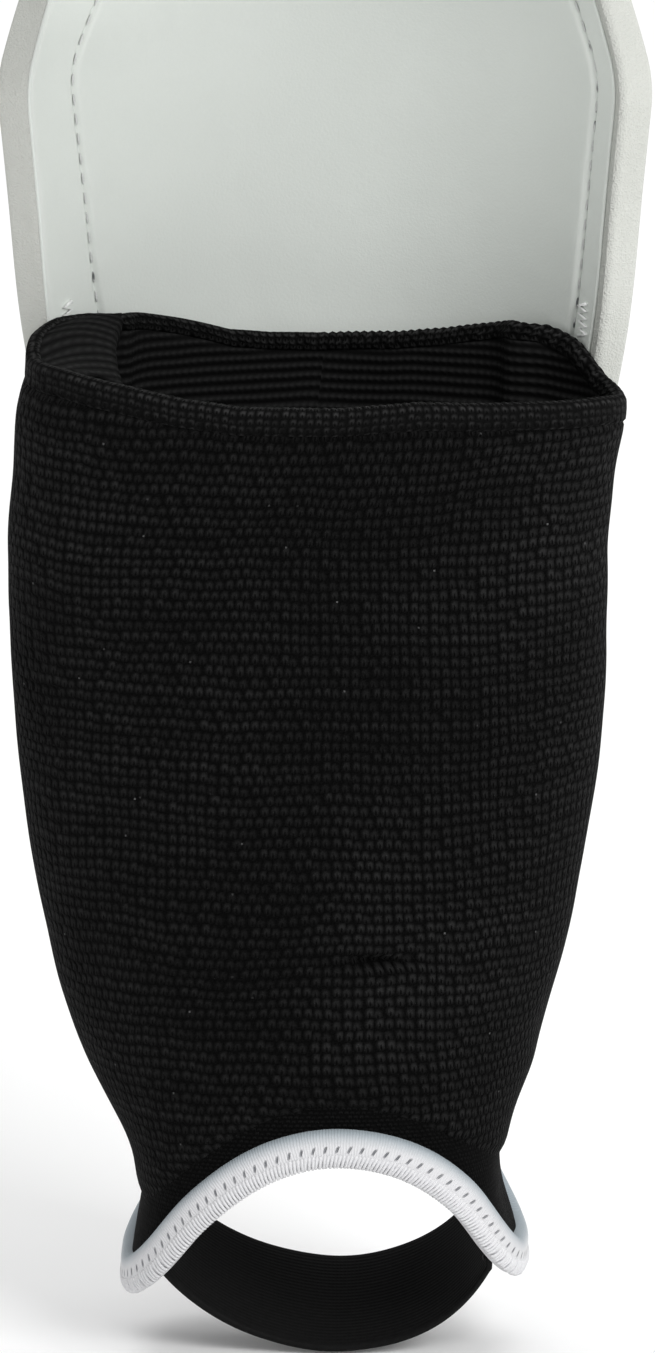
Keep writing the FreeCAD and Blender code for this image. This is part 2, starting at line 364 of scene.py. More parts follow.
def stitch_tree():
    """Rounded stitches laid end to end along a curve."""
    tree, given, result = new_tree("stitches_along", [
        ("Spacing", "NodeSocketFloat"), ("Stitch Length", "NodeSocketFloat"),
        ("Thread Radius", "NodeSocketFloat"), ("Thread", "NodeSocketMaterial")])
    spaced = tree_node(tree, "GeometryNodeResampleCurve", [("Curve", given.outputs["Geometry"])],
                       mode="LENGTH")
    tree.links.new(given.outputs["Spacing"], spaced.inputs["Length"])
    tangent = tree_node(tree, "GeometryNodeInputTangent")
    turn = tree_node(tree, "FunctionNodeAlignRotationToVector", [("Vector", tangent.outputs[0])], axis="Z")
    bead = tree_node(tree, "GeometryNodeMeshUVSphere",
                     [("Segments", 6), ("Rings", 5), ("Radius", 0.5)])
    girth = tree_node(tree, "ShaderNodeMath", [(0, given.outputs["Thread Radius"]), (1, 2.0)],
                      operation="MULTIPLY")
    size = tree_node(tree, "ShaderNodeCombineXYZ", [
        (0, girth.outputs[0]), (1, girth.outputs[0]), (2, given.outputs["Stitch Length"])])
    return lay_copies(tree, given, result, spaced.outputs["Curve"], bead.outputs["Mesh"], turn,
                      size.outputs[0])


def loop_tree():
    """A copy of one thread loop at each point, turned to the point's own axes."""
    tree, given, result = new_tree("loops_at_points", [
        ("Loop", "NodeSocketObject"), ("Scale", "NodeSocketFloat"), ("Thread", "NodeSocketMaterial")])
    loop = tree_node(tree, "GeometryNodeObjectInfo", [("Object", given.outputs["Loop"])])
    along, out = (tree_node(tree, "GeometryNodeInputNamedAttribute", [("Name", name)],
                            data_type="FLOAT_VECTOR") for name in ("along", "out"))
    turn = tree_node(tree, "FunctionNodeAxesToRotation", [
        (0, out.outputs[0]), (1, along.outputs[0])], primary_axis="Z", secondary_axis="X")
    return lay_copies(tree, given, result, given.outputs["Geometry"], loop.outputs["Geometry"], turn,
                      given.outputs["Scale"])


def grown(name, carrier, tree, **values):
    """The plain mesh that a geometry tree makes on a carrier, as a piece of its own."""
    maker = carrier.modifiers.new("maker", "NODES")
    maker.node_group = tree
    for item in tree.interface.items_tree:
        label = item.name.replace(" ", "_").lower()
        if item.in_out == "INPUT" and label in values:
            maker[item.identifier] = values[label]
    return turned_to_piece(name, carrier)


def path_curve(name, paths):
    """Straight runs through lists of points."""
    curve = bpy.data.curves.new(name, "CURVE")
    curve.dimensions = "3D"
    for path in paths:
        spline = curve.splines.new("POLY")
        spline.points.add(len(path) - 1)
        for point, place in zip(spline.points, path):
            point.co = (*place, 1)
    return in_scene(name, curve)


def stitched(name, paths, thread, spacing, length, radius):
    """Stitches of a length and thread radius along some paths."""
    return grown(name, path_curve(name + "_path", paths), stitches,
                 spacing=spacing, stitch_length=length, thread_radius=radius, thread=thread)


def loops_at(name, places, alongs, outs, loop, thread):
    """Copies of a loop at places, each turned to its own along and out directions."""
    mesh = bpy.data.meshes.new(name + "_points")
    mesh.from_pydata([tuple(place) for place in places], [], [])
    for label, vectors in (("along", alongs), ("out", outs)):
        layer = mesh.attributes.new(label, "FLOAT_VECTOR", "POINT")
        layer.data.foreach_set("vector", np.array([tuple(v) for v in vectors], dtype=np.float32).ravel())
    return grown(name, in_scene(name + "_points", mesh), loops, loop=loop, scale=1.0, thread=thread)


def thread_mesh(name, path, radius, material):
    """A thread of even thickness through a list of points."""
    carrier = path_curve(name + "_path", [path])
    carrier.data.bevel_depth = radius
    carrier.data.bevel_resolution = 1
    carrier.data.use_fill_caps = True
    thread = turned_to_piece(name, carrier)
    thread.data.materials.clear()
    thread.data.materials.append(material)
    return turned_outwards(thread)


# ---------------------------------------------------------------- materials

class Value:
    """A number in a material, so that sums read as sums."""

    def __init__(self, paint, socket):
        self.paint = paint
        self.socket = socket

    def __add__(self, other):
        return self.paint.sum("ADD", self, other)

    def __sub__(self, other):
        return self.paint.sum("SUBTRACT", self, other)

    def __rsub__(self, other):
        return self.paint.sum("SUBTRACT", other, self)

    def __mul__(self, other):
        return self.paint.sum("MULTIPLY", self, other)

    def __truediv__(self, other):
        return self.paint.sum("DIVIDE", self, other)

    __radd__ = __add__
    __rmul__ = __mul__


class Paint:
    """One material and the nodes that make it."""

    def __init__(self, name):
        self.material = bpy.data.materials.new(name)
        self.material.use_nodes = True
        self.tree = self.material.node_tree
        self.tree.nodes.clear()
        self.shader = self.tree.nodes.new("ShaderNodeBsdfPrincipled")
        output = self.tree.nodes.new("ShaderNodeOutputMaterial")
        self.tree.links.new(self.shader.outputs[0], output.inputs[0])

    def link(self, value, socket):
        if isinstance(value, Value):
            value = value.socket
        if isinstance(value, bpy.types.NodeSocket):
            self.tree.links.new(value, socket)
        else:
            socket.default_value = value

    def node(self, kind, settings=(), sockets=(), out=0):
        """A node's output, with its settings made first and its sockets set or linked."""
        made = self.tree.nodes.new(kind)
        for setting, value in dict(settings).items():
            setattr(made, setting, value)
        for socket, value in dict(sockets).items():
            self.link(value, made.inputs[socket])
        return Value(self, made.outputs[out])

    def sum(self, operation, *values):
        return self.node("ShaderNodeMath", {"operation": operation}, dict(enumerate(values)))

    def cosine(self, value, pitch):
        """1 at each multiple of the pitch and 0 half way between."""
        return self.sum("COSINE", value * (2 * math.pi / pitch)) * 0.5 + 0.5

    def limited(self, value, low, high):
        return self.node("ShaderNodeMapRange", {"interpolation_type": "SMOOTHSTEP"},
                         {"Value": value, "From Min": low, "From Max": high})

    def cloth(self):
        """The cloth map, in millimetres: across, along."""
        flat = self.node("ShaderNodeUVMap", {"uv_map": "cloth"})
        across = self.node("ShaderNodeSeparateXYZ", sockets={0: flat}, out=0)
        along = Value(self, across.socket.node.outputs[1])
        return across, along, flat

    def place(self):
        return self.node("ShaderNodeTexCoord", out=3)

    def cloud(self, where, scale, detail=3.0, rough=0.5):
        return self.node("ShaderNodeTexNoise", sockets={
            "Vector": where, "Scale": scale, "Detail": detail, "Roughness": rough})

    def blend(self, share, low, high):
        """A colour between two colours."""
        made = self.tree.nodes.new("ShaderNodeMix")
        made.data_type = "RGBA"
        self.link(share, made.inputs["Factor"])
        self.link(low if isinstance(low, Value) else (*low, 1), made.inputs["A"])
        self.link(high if isinstance(high, Value) else (*high, 1), made.inputs["B"])
        return Value(self, made.outputs["Result"])

    def raised(self, height, depth, strength=1.0):
        """A bump of a depth in metres, sent to the surface normal."""
        normal = self.node("ShaderNodeBump", sockets={
            "Height": height, "Distance": depth, "Strength": strength})
        self.link(normal, self.shader.inputs["Normal"])

    def finish(self, colour=None, roughness=None, **plain):
        if colour is not None:
            colour = colour if isinstance(colour, Value) else (*colour, 1)
            self.link(colour, self.shader.inputs["Base Color"])
        if roughness is not None:
            self.link(roughness, self.shader.inputs["Roughness"])
        for name, value in plain.items():
            label = name.replace("_", " ").title().replace("Ior", "IOR")
            self.shader.inputs[label].default_value = value
        return self.material


def knit_loops(paint, across, along, width, height, stagger=0.0):
    """Rows of small round loops, each with a dark eye below: their shape and a shade for each loop.

    stagger moves every second row sideways, in loops."""
    along = along / height
    row = paint.sum("ROUND", along)
    odd = paint.sum("ABSOLUTE", row - paint.sum("ROUND", row / 2) * 2)
    across = across / width + odd * stagger
    column = paint.sum("ROUND", across)
    cell = paint.node("ShaderNodeTexWhiteNoise", {"noise_dimensions": "2D"}, {
        "Vector": paint.node("ShaderNodeCombineXYZ", sockets={0: column, 1: row})})
    side = (across - column) * 2 + (cell - 0.5) * 0.6
    rise = (along - row) * 2 + (0.5 - cell) * 0.5
    reach = paint.sum("SQRT", side * side * 0.95 + rise * rise)
    loop = 1 - paint.limited(reach, 0.35, 1.2)
    eye = paint.sum("SQRT", side * side * 3.2 + (rise + 0.5) * (rise + 0.5))
    return loop - (1 - paint.limited(eye, 0.08, 0.55)) * 0.9, cell


def knit_face():
    """Black knit seen from its face."""
    paint = Paint("black_knit_face")
    across, along, flat = paint.cloth()
    across = across + (paint.cloud(flat, 0.05, 2.0) - 0.5) * 1.6
    along = along + (paint.cloud(flat, 0.03, 2.5) - 0.5) * 4.5
    stagger = paint.limited(paint.cloud(flat, 0.022, 2.0), 0.42, 0.58) * 0.5
    loop, cell = knit_loops(paint, across, along, wale_pitch * 1000, course_pitch * 1000, stagger)
    fuzz = paint.cloud(flat, 2.2, 2.0)
    patch = paint.limited(paint.cloud(flat, 0.018, 2.0), 0.35, 0.7)
    shade = paint.node("ShaderNodeTexWhiteNoise", {"noise_dimensions": "1D"}, {
        "W": paint.sum("ROUND", along / (course_pitch * 1000))})
    grain = paint.node("ShaderNodeTexWhiteNoise", {"noise_dimensions": "2D"}, {
        "Vector": paint.node("ShaderNodeCombineXYZ", sockets={
            0: paint.sum("ROUND", across * 2.6), 1: paint.sum("ROUND", along * 2.6)})})
    lint = paint.limited(grain, 0.99965, 0.9999)
    light = loop * (0.45 + cell * 0.4) * (0.55 + patch * 0.6) * (0.75 + shade * 0.4) + (fuzz - 0.5) * 0.45
    colour = paint.blend(light, (0.0006, 0.0006, 0.0006), (0.0200, 0.0200, 0.0200))
    colour = paint.blend(lint, colour, (0.09, 0.09, 0.09))
    paint.raised(loop * (0.8 + cell * 0.4) + fuzz * 0.6, 0.0011)
    return paint.finish(colour, 0.75, specular_ior_level=0.04, sheen_weight=0.009)


def knit_ribs():
    """Black knit seen from inside: level ribs with small loops along them."""
    paint = Paint("black_knit_ribs")
    across, along, flat = paint.cloth()
    along = along + (paint.cloud(flat, 0.04, 2.0) - 0.5) * 2.0
    rib = paint.cosine(along, rib_pitch * 1000)
    loop = paint.cosine(across + rib * 0.3, wale_pitch * 800)
    height = rib * (0.75 + loop * 0.25) + paint.cloud(flat, 2.0, 2.0) * 0.2
    light = rib * (0.55 + loop * 0.45)
    colour = paint.blend(light, (0.0035, 0.0035, 0.0035), (0.018, 0.018, 0.018))
    paint.raised(height, 0.0005)
    return paint.finish(colour, 0.8, specular_ior_level=0.05)


def hem_knit():
    """The turned hem of the sleeve: small loops, a painted highlight along the fold, and a row of holes at
    its foot.
    """
    paint = Paint("black_knit_hem")
    across, along, flat = paint.cloth()
    across = across + (paint.cloud(flat, 0.08, 2.0) - 0.5) * 1.2
    loop, cell = knit_loops(paint, across, along, wale_pitch * 850, 1.55)
    # Painted highlight: the loops are lighter along the top of the fold, where the rolled hem catches the
    # light.
    fold = 1 - paint.limited(paint.sum("ABSOLUTE", along - 6.6), 0.6, 3.2)
    foot = 1 - paint.limited(paint.sum("ABSOLUTE", along - 1.0), 0.3, 1.0)
    hole = foot * paint.cosine(across, wale_pitch * 1200)
    light = loop * (0.4 + cell * 0.6) * (0.6 + fold * 0.8) * (1 - hole * 0.9)
    colour = paint.blend(light, (0.0008, 0.0008, 0.0008), (0.024, 0.024, 0.024))
    paint.raised(loop - hole * 1.2 + paint.cloud(flat, 2.0, 2.0) * 0.2, 0.0007)
    return paint.finish(colour, 0.75, specular_ior_level=0.07)


def smooth_stretch():
    """Fine black stretch knit; its colour is the fabric's own black made darker still as painted shade under
    the knit's hem.
    """
    paint = Paint("black_stretch")
    across, along, flat = paint.cloth()
    loop, cell = knit_loops(paint, across, along, 1.1, 0.9, 0.5)
    wave = paint.cloud(flat, 0.25, 3.0)
    light = loop * (0.3 + cell * 0.5) + wave * 0.2
    # Partly the fabric's own black and partly painted shade: darker than the knit, for the shadow under the
    # knit's hem.
    colour = paint.blend(light, (0.0006, 0.0006, 0.0006), (0.006, 0.006, 0.006))
    paint.raised(loop + wave, 0.0003)
    return paint.finish(colour, 0.75, specular_ior_level=0.04)


def elastic(name, rib=1.1, light=(0.015, 0.015, 0.0155), depth=0.00022, mottle=0.0):
    """Woven black elastic: cords along the band and a fine weft across, mottled where it is worn."""
    paint = Paint(name)
    across, along, flat = paint.cloth()
    cord = paint.cosine(along, rib)
    weft = paint.cosine(across + cord * 0.25, 0.8)
    height = cord * (0.6 + weft * 0.4) + paint.cloud(flat, 1.5, 2.0) * 0.2
    worn = paint.limited(paint.cloud(flat, 0.9, 4.0, 0.6), 0.35, 0.7)
    shade = cord * (0.5 + weft * 0.5) * (1 - mottle) + worn * mottle
    colour = paint.blend(shade, (0.002, 0.002, 0.002), light)
    paint.raised(height, depth)
    return paint.finish(colour, 0.7, specular_ior_level=0.12)


def pile(name, size, light):
    """Fuzzy loop or hook tape."""
    paint = Paint(name)
    where = paint.place()
    tuft = paint.node("ShaderNodeTexVoronoi", {"feature": "F1"}, {"Vector": where, "Scale": 1 / size})
    fuzz = paint.cloud(where, 2.5 / size, 3.0)
    height = fuzz - tuft * 0.8
    colour = paint.blend(paint.limited(height, -0.3, 0.6), (0.002, 0.002, 0.002), light)
    paint.raised(height, size * 0.5)
    return paint.finish(colour, 0.85, sheen_weight=0.1, specular_ior_level=0.2)


def white_lining():
    """Smooth white brushed lining, laminated to the foam."""
    paint = Paint("white_lining")
    where = paint.place()
    soft = paint.cloud(where, 26.0, 3.0)
    fine = paint.cloud(where, 1800.0, 2.0, 0.6)
    scuff = paint.limited(paint.cloud(where, 70.0, 5.0, 0.62), 0.58, 0.78)
    tone = soft * 0.6 + fine * 0.25 + (1 - scuff) * 0.15
    colour = paint.blend(tone, (0.685, 0.72, 0.68), (0.785, 0.82, 0.78))
    paint.raised(soft * 2.0 + fine * 0.12, 0.0004)
    return paint.finish(colour, 0.62 - scuff * 0.06, sheen_weight=0.12, specular_ior_level=0.35)


def white_foam():
    """Closed-cell foam with a fine, slightly torn cut."""
    paint = Paint("white_foam")
    where = paint.place()
    cells = paint.node("ShaderNodeTexVoronoi", {"feature": "F1"}, {"Vector": where, "Scale": 2400.0})
    cut = paint.cloud(where, 240.0, 4.0, 0.6)
    soft = paint.cloud(where, 40.0, 2.0)
    colour = paint.blend(cut * 0.4 + soft * 0.6, (0.50, 0.51, 0.475), (0.59, 0.60, 0.565))
    paint.raised(cells * 0.5 + cut, 0.0003)
    return paint.finish(colour, 0.8, specular_ior_level=0.3)


def white_shell():
    """Moulded white plastic with a slight orange peel and fine scuffs."""
    paint = Paint("white_shell")
    where = paint.place()
    peel = paint.cloud(where, 520.0, 2.0)
    broad = paint.cloud(where, 18.0, 2.0)
    scuff = paint.limited(paint.cloud(where, 130.0, 6.0, 0.7), 0.6, 0.72)
    colour = paint.blend(broad * 0.6 + scuff * 0.25, (0.76, 0.775, 0.77), (0.85, 0.86, 0.85))
    paint.raised(peel, 0.00003)
    return paint.finish(colour, 0.24 + scuff * 0.22, coat_roughness=0.12, specular_ior_level=0.5)


def thread_paint(name, dark, light, roughness=0.6, needle_shade=None):
    """Twisted thread, with a few dark needle points of painted shade when a shade colour is given."""
    paint = Paint(name)
    where = paint.place()
    twist = paint.cloud(where, 1500.0, 2.0)
    colour = paint.blend(twist, dark, light)
    if needle_shade:
        # Dark points at random along the thread: painted shade of the needle holes.
        point = paint.limited(paint.cloud(where, 170.0, 1.0), 0.60, 0.68)
        colour = paint.blend(point, colour, needle_shade)
    paint.raised(twist, 0.0002)
    return paint.finish(colour, roughness, sheen_weight=0.15, specular_ior_level=0.35)


def edging_paint():
    """White wound yarn of the overlocked roll, with a row of slanted needle slots round its middle, and
    painted bluish shade on the top of the roll.
    """
    paint = Paint("white_edging")
    across, along, flat = paint.cloth()
    from_middle = along - edging_middle * 1000
    turn = paint.cosine(across + paint.cloud(flat, 0.4, 2.0) * 0.5, 0.55)
    wave = paint.cloud(flat, 0.12, 3.0)
    place = (across + from_middle * 0.4) / (edging_pitch * 1000)
    beside = paint.sum("ABSOLUTE", place - paint.sum("ROUND", place))
    slot = (1 - paint.limited(beside, 0.03, 0.14)) * (1 - paint.limited(
        paint.sum("ABSOLUTE", from_middle), 0.2, 0.95))
    round_ = paint.sum("FRACT", from_middle / (edging_girth * 1000) + 1.0)
    # The top of the roll is painted darker and bluish: painted shade from the sleeve above it and a painted
    # reflection of the surroundings.
    crown_shade = paint.limited(round_, 0.02, 0.20) * (1 - paint.limited(round_, 0.35, 0.6))
    base = paint.blend(turn * 0.4 + wave * 0.6, (0.60, 0.60, 0.615), (0.70, 0.70, 0.715))
    base = paint.blend(crown_shade, base, (0.31, 0.355, 0.385))
    colour = paint.blend(slot * (0.35 + wave * 0.8), base, (0.07, 0.08, 0.10))
    paint.raised(turn * 0.4 + wave * 0.6 - slot * 2.5, 0.0002)
    return paint.finish(colour, 0.66, sheen_weight=0.1, specular_ior_level=0.3)


def studio_floor():
    paint = Paint("pale_floor")
    soft = paint.cloud(paint.place(), 0.8, 2.0)
    colour = paint.blend(soft, (0.93, 0.93, 0.93), (0.95, 0.95, 0.95))
    return paint.finish(colour, 0.7, specular_ior_level=0.1, emission_strength=0.0)


stitches = stitch_tree()
loops = loop_tree()
knit = knit_face()
ribs = knit_ribs()
hem = hem_knit()
shaded_stretch = smooth_stretch()
webbing = elastic("black_elastic")
stirrup_cloth = elastic("black_stirrup_elastic", 0.9, (0.0065, 0.0065, 0.0065), 0.00006, 0.65)
loop_pile = pile("black_loop_pile", 0.0011, (0.02, 0.02, 0.021))
hook_tape = pile("black_hook_tape", 0.0007, (0.035, 0.035, 0.036))
lining_cloth = white_lining()
foam_stuff = white_foam()
shell_plastic = white_shell()
# The seam thread gets dark points of painted shade at its needle holes.
seam_thread = thread_paint("seam_thread", (0.58, 0.59, 0.58), (0.74, 0.75, 0.74), needle_shade=(0.14, 0.15, 0.15))
tack_thread = thread_paint("tack_thread", (0.80, 0.81, 0.80), (0.92, 0.93, 0.92))
black_thread = thread_paint("black_thread", (0.006, 0.006, 0.006), (0.03, 0.03, 0.03))
edging_yarn = edging_paint()
edging_thread = thread_paint("edging_thread", (0.62, 0.62, 0.635), (0.74, 0.74, 0.755))


# ---------------------------------------------------------------- curved panel

lining_surface = surface_of("leg_lining")
shell_surface = surface_of("shin_shell")
panel_low, panel_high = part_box("foam_backing")
sleeve_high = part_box("sleeve_rim_hem")[1].z
shell_low, shell_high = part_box("shin_shell")


def seam_angle(up):
    """Where the shell's stitch line runs at a height: a little inside the shell's edge."""
    inside = min(max(up, shell_low.z + 0.0005), shell_high.z - 0.0005)
    return edge_angle(shell_surface, inside, shell_radius) - seam_inset / bend_radius


def panel_rows(count):
    """Heights from bottom to top, closer together where the corners turn."""
    shares = (1 - np.cos(np.linspace(0, math.pi, count))) / 2
    trim = 0.00004
    return panel_low.z + trim + (panel_high.z - panel_low.z - 2 * trim) * shares


def panel_edge(up):
    """The panel's edge as an angle; the wings spread a little where the sleeve is sewn on."""
    spread = 0.0018 * float(hump(sleeve_high + 0.008, 0.022, up))
    return edge_angle(lining_surface, up, lining_radius) + spread / bend_radius


def inner_seam(up):
    """How far round the bend the stitches come through the lining, before both lines shift right."""
    spread = seam_spread * float(1 - smooth_step(0.205, 0.262, up))
    wander = 0.0007 * rippled((0, up, 0), 0.03, 6)
    return min(seam_angle(up) * bend_radius + spread + wander, panel_edge(up) * bend_radius - 0.0098)


def seam_columns(edge, seam):
    """Distances round the bend for one row, close together at the two seams."""
    near = 0.0025
    left, right = seam - seam_shift, seam + seam_shift
    middle = np.linspace(-left + near, right - near, 41)
    beside = np.linspace(-near, near, 25)[1:]
    left_wing = np.concatenate([beside, np.linspace(near, edge - left, 9)[1:]])
    right_wing = np.concatenate([beside, np.linspace(near, edge - lining_margin - right, 9)[1:]])
    return np.concatenate([-(left + left_wing)[::-1], middle, right + right_wing])


def lining_depth(across, up, seam, strength):
    """How far the lining lies behind the plain bend: seam grooves, padding and a soft fold."""
    from_seam = abs(across - seam_shift) - seam
    needle = 0.5 + 0.5 * math.cos(2 * math.pi * up / seam_pitch)
    groove = math.exp(-(from_seam / 0.0007) ** 2) * (0.55 + 0.45 * needle)
    pucker = math.exp(-((abs(from_seam) - 0.002) / 0.0022) ** 2) * rippled((across, up, 0), 0.005, 3)
    depth = strength * (0.0009 * groove + 0.00018 * pucker)
    if from_seam < 0:
        padding = (1 - math.exp(from_seam / 0.0011)) * math.exp(from_seam / 0.0110)
        depth -= strength * 0.0007 * padding
    from_fold = math.sqrt((across - fold_place) ** 2 + fold_round ** 2)
    depth += fold_depth * math.exp(-from_fold / fold_reach)
    return depth + 0.00022 * rippled((across, up, 0), 0.035, 9)


def lining_grid(rows=250):
    """The lining's points, with its cloth map and heights."""
    heights = panel_rows(rows)
    points, across = [], []
    for up in heights:
        seam = max(inner_seam(up), 0.008)
        strength = float(smooth_step(shell_low.z + 0.010, shell_low.z + 0.026, up)
                         * (1 - smooth_step(shell_high.z - 0.026, shell_high.z - 0.010, up)))
        row = seam_columns(panel_edge(up) * bend_radius, seam)
        across.append(row)
        radii = [lining_radius + lining_depth(at, up, seam, strength) for at in row]
        points.append([bend_point(at / bend_radius, radius, up) for at, radius in zip(row, radii)])
    across = np.array(across)
    along = np.tile(heights[:, None], (1, across.shape[1]))
    return np.array(points), across, along, heights


def make_lining():
    points, across, along, heights = lining_grid()
    lining = grid_piece("lining", points, lining_cloth, across, along)
    lining.data.flip_normals()
    thickened(lining, lining_thickness * 0.9)
    width = 2 * float(across.max())
    area = area_of(lining)
    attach(lining, "guard")
    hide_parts("leg_lining")
    flat = (width, float(heights[-1] - heights[0]))
    area / 2


def foam_inside(share, bare):
    """The foam's inner radius: set back under the lining, and raised along the strip it leaves bare."""
    set_back = foam_set_back * float(1 - smooth_step(0.88, 0.95, abs(share)))
    return foam_radius + set_back - 0.0006 * float(smooth_step(bare, bare + 0.008, share))


def make_foam():
    """The foam between lining and shell, cut square at its edge with the outer corner just broken."""
    rows, columns = 170, 71
    outer = foam_radius + foam_thickness
    walls = np.linspace(foam_radius, outer - broken_corner, 5)[1:]
    corner = [(outer - broken_corner * (1 - math.sin(turn)), broken_corner * (1 - math.cos(turn)))
              for turn in np.linspace(0, math.pi / 2, 5)[1:]]
    inside = np.concatenate([np.linspace(-1, 0.92, columns), np.linspace(0.93, 1, 17)])
    outside = np.linspace(1, -1, columns)[1:-1]
    corners = []
    for up in panel_rows(rows):
        edge = panel_edge(up)
        bare = 1 - lining_margin / (edge * bend_radius)
        reach = edge - broken_corner / bend_radius
        side = [(edge, radius) for radius in walls]
        side += [(edge - back / bend_radius, radius) for radius, back in corner]
        ring = [(edge * share, foam_inside(share, bare)) for share in inside]
        ring += side + [(reach * share, outer) for share in outside]
        ring += [(-angle, radius) for angle, radius in reversed(side)]
        corners.extend(bend_point(angle, radius, up) for angle, radius in ring)
    count = len(corners) // rows
    faces = grid_faces(rows, count, lambda row, column: (0, 0), True)[0]
    faces += [[base + column for column in range(count)] for base in (0, (rows - 1) * count)]
    foam = turned_outwards(mesh_piece("foam", corners, faces, foam_stuff))
    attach(foam, "guard")
    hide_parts("foam_backing")


def make_seams():
    """Stitches through shell, foam and lining, in a line on each side."""
    for side, name in sides:
        inner = []
        outer = []
        for up in np.arange(shell_low.z + 0.014, shell_high.z - 0.016, 0.002):
            through = (side * inner_seam(up) + seam_shift) / bend_radius
            inner.append(bend_point(through, lining_radius + 0.00045, up))
            outer.append(bend_point(side * seam_angle(up), shell_radius + shell_thickness + 0.0001, up))
        seam = stitched("seam_" + name, [inner, outer], seam_thread, seam_pitch, seam_pitch * 0.62, 0.00026)
        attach(seam, "guard")
        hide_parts("shell_seam_" + name)


make_lining()
make_foam()
make_seams()
frame["nodes"]["shin_shell"].data.materials.clear()
frame["nodes"]["shin_shell"].data.materials.append(shell_plastic)


# ---------------------------------------------------------------- knitted sleeve

sleeve_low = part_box("cuff_edging")[0].z
arch_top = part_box("cuff_edging")[1].z
arch_centre = arch_top - arch_radius - edging_height


def evened(values, axis):
    """Values round a closed line, each drawn towards its two neighbours."""
    return (np.roll(values, 1, axis) + 2 * values + np.roll(values, -1, axis)) / 4


def sleeve_radii(turns=180, levels=120):
    """The CAD sleeve's outer radius from the leg's axis, by angle and height, with gaps filled in."""
    knit_wall = surface_of("sleeve_outer_upper", "sleeve_outer_lower", "sleeve_rim_hem")
    cuff_wall = surface_of("heel_cuff")
    heights = np.linspace(sleeve_low + 0.0004, sleeve_high - 0.0004, levels)
    radii = np.full((levels, turns), np.nan)
    for row, up in enumerate(heights):
        for column in range(turns):
            angle = 2 * math.pi * column / turns
            direction = Vector((math.sin(angle), math.cos(angle), 0))
            start = direction * 0.12 + Vector((0, 0, up))
            for wall, extra in ((knit_wall, 0.0), (cuff_wall, 0.0015)):
                hit = wall.ray_cast(start, -direction, 0.115)[0]
                if hit:
                    radii[row, column] = Vector((hit.x, hit.y)).length + extra
                    break
    for column in range(turns):
        known = ~np.isnan(radii[:, column])
        radii[:, column] = np.interp(heights, heights[known], radii[known, column])
    for _ in range(3):
        radii = evened(radii, 1)
        radii[1:-1] = (radii[:-2] + 2 * radii[1:-1] + radii[2:]) / 4
    return heights, radii


level_heights, level_radii = sleeve_radii()


def wall_radius(angle, up):
    """The sleeve's outer radius at an angle in radians and a height."""
    turns = level_radii.shape[1]
    column = (angle / (2 * math.pi) * turns) % turns
    first = int(column) % turns
    share = column - int(column)
    row = np.interp(up, level_heights, np.arange(len(level_heights)))
    low = int(min(row, len(level_heights) - 2))
    here, above = (level[first] * (1 - share) + level[(first + 1) % turns] * share
                   for level in level_radii[low:low + 2])
    return here * (1 - (row - low)) + above * (row - low)


def lean_at(up):
    """How far the sleeve stands off centre at a height."""
    return sleeve_lean * float(smooth_step(0.206, 0.165, up) * smooth_step(0.018, 0.075, up))


def sleeve_point(angle, up, inset=0.0):
    """A point on the worn sleeve, taken in from its face."""
    radius = float(wall_radius(angle, min(up, sleeve_high - 0.0005)))
    across, along = math.sin(angle), math.cos(angle)
    place = Vector((radius * across, radius * along, up))
    swell = 0.0004 * rippled(place, 0.030, 5) + 0.00025 * rippled(place, 0.011, 8) + 0.0006
    waist = float(smooth_step(0.016, 0.036, up) * (1 - smooth_step(0.040, 0.062, up)))
    swell -= 0.0030 * waist * abs(across) ** 3
    swell += 0.0010 * float(smooth_step(0.180, 0.196, up)) * abs(across) ** 3
    if along < 0:
        pinch = float(hump(crease_place, 0.0060, place.x) * hump(crease_height, 0.0011, up))
        roll = float(hump(crease_place, 0.0085, place.x) * hump(crease_height - 0.0032, 0.0024, up))
        swell += 0.0008 * roll - 0.0030 * pinch
    if along > 0:
        for fold_x in (-0.0435, 0.0415):
            swell -= 0.0030 * float(hump(fold_x, 0.0035, place.x) * smooth_step(0.170, 0.196, up))
    radius += swell - inset
    return Vector((radius * across + lean_at(up), radius * along, up))


# The rim's height round the sleeve, as angle and rise over the CAD rim
rim_shape = [(0, 0.0), (27, 0.0008), (42, 0.0021), (54, 0.0039), (63, 0.0055), (69, 0.0052), (75, 0.0030),
             (82, -0.0028), (90, -0.0044), (102, -0.0023), (118, -0.0009), (143, 0.0001), (173, -0.0011),
             (214, -0.0009), (230, 0.0005), (241, 0.0023), (255, 0.0041), (266, 0.0042), (273, 0.0072),
             (281, 0.0084), (288, 0.0081), (301, 0.0065), (312, 0.0044), (326, 0.0015), (340, 0.0005),
             (360, 0.0)]


def rim_height(angle):
    degrees = math.degrees(angle) % 360
    for (start, low), (end, high) in zip(rim_shape, rim_shape[1:]):
        if start <= degrees <= end:
            return sleeve_high + low + (high - low) * (degrees - start) / (end - start)
    return sleeve_high


def arch_height(across, radius):
    """The height of a foot-opening arch of some radius at a distance from its middle."""
    across = abs(across)
    turn_at = radius * math.sin(arch_turn)
    if across <= turn_at:
        return arch_centre + math.sqrt(radius ** 2 - across ** 2)
    return arch_centre + radius * math.cos(arch_turn) - (across - turn_at) * math.tan(arch_turn)


def on_arch(angle, radius, inset=0.0):
    """The point of the sleeve's wall that an arch passes through at an angle."""
    up = arch_centre
    for _ in range(40):
        place = sleeve_point(angle, max(up, sleeve_low), inset)
        skew = opening_skew * float(smooth_step(0.020, 0.054, up))
        wanted = arch_height(place.x - skew, radius) - 0.0005
        wanted += 0.0030 * float(smooth_step(0.024, 0.042, place.x))
        wanted -= 0.0019 * float(hump(-0.027, 0.013, place.x))
        wanted += 0.0021 * float(smooth_step(0.032, 0.044, -place.x))
        up += (max(wanted, sleeve_low - 0.002) - up) * 0.4
    return sleeve_point(angle, up, inset)


